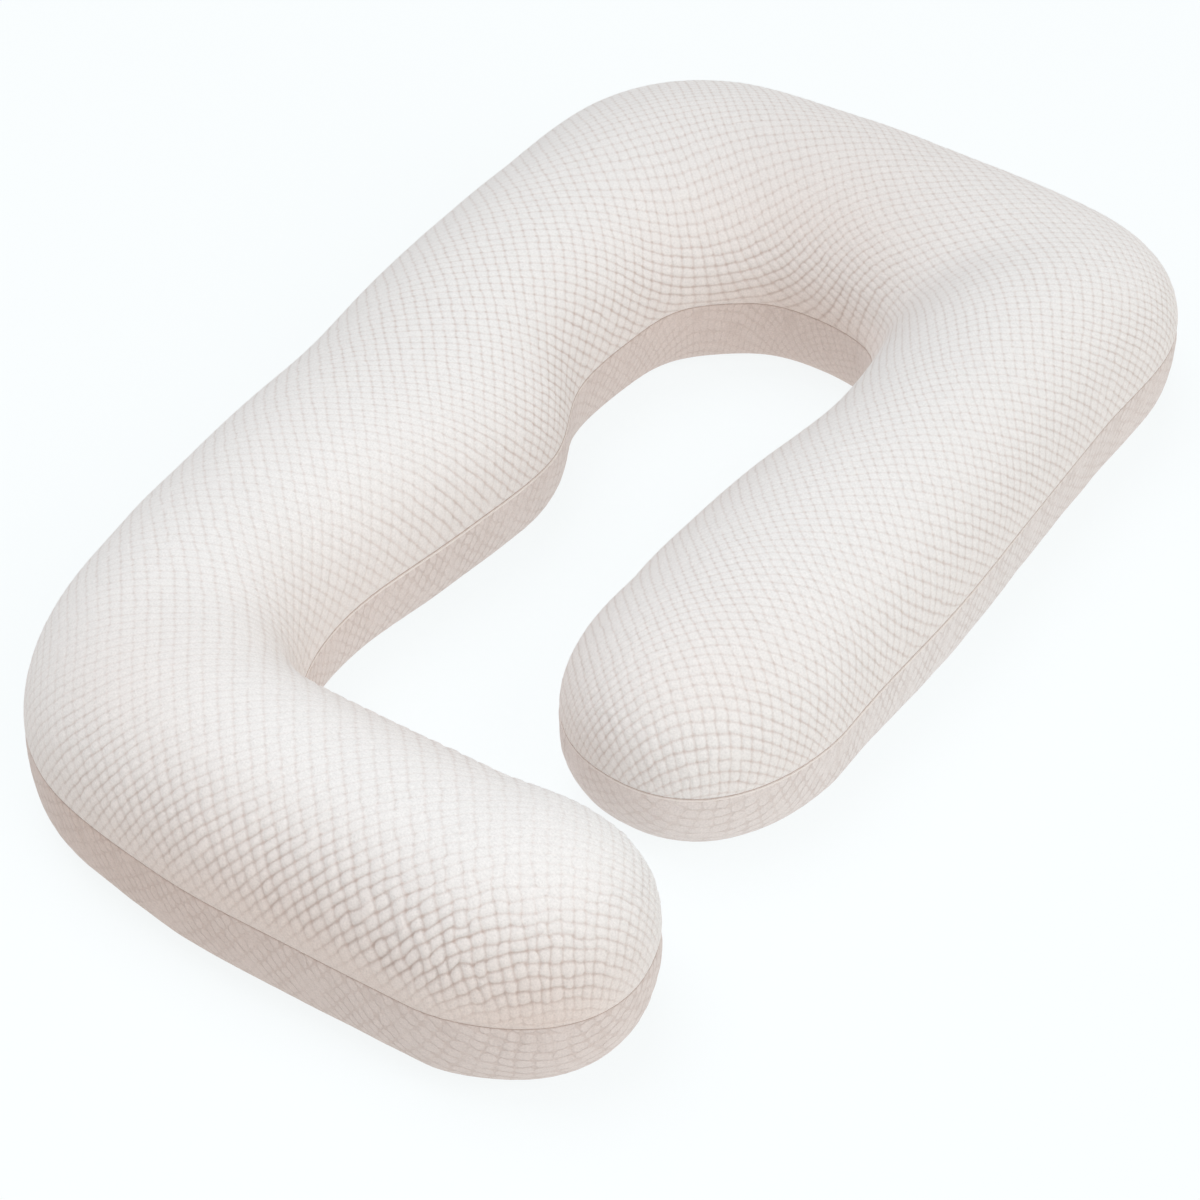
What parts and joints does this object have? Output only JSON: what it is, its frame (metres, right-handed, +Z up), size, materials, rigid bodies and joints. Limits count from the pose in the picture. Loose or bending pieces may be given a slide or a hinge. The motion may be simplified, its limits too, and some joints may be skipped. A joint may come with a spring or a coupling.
{
  "type": "body pillow",
  "caption": "Full body pillow: a stuffed fabric tube bent in a squared G, with two rounded free ends and one seam all round.",
  "frame": {"origin": "centre of the pillow's outer box, on the surface that it lies on", "axes": "+Z up from the surface; +Y along the long arm, from the foot arm to the head arm; +X from the long arm to the leg arm"},
  "size_m": [0.7607, 1.3143, 0.2179],
  "materials": {
    "bubble_knit": "matt white bubble knit, soft and slightly warm in its grooves"
  },
  "bodies": {
    "root": {"filled_pillow": "bubble_knit"}
  },
  "joints": []
}
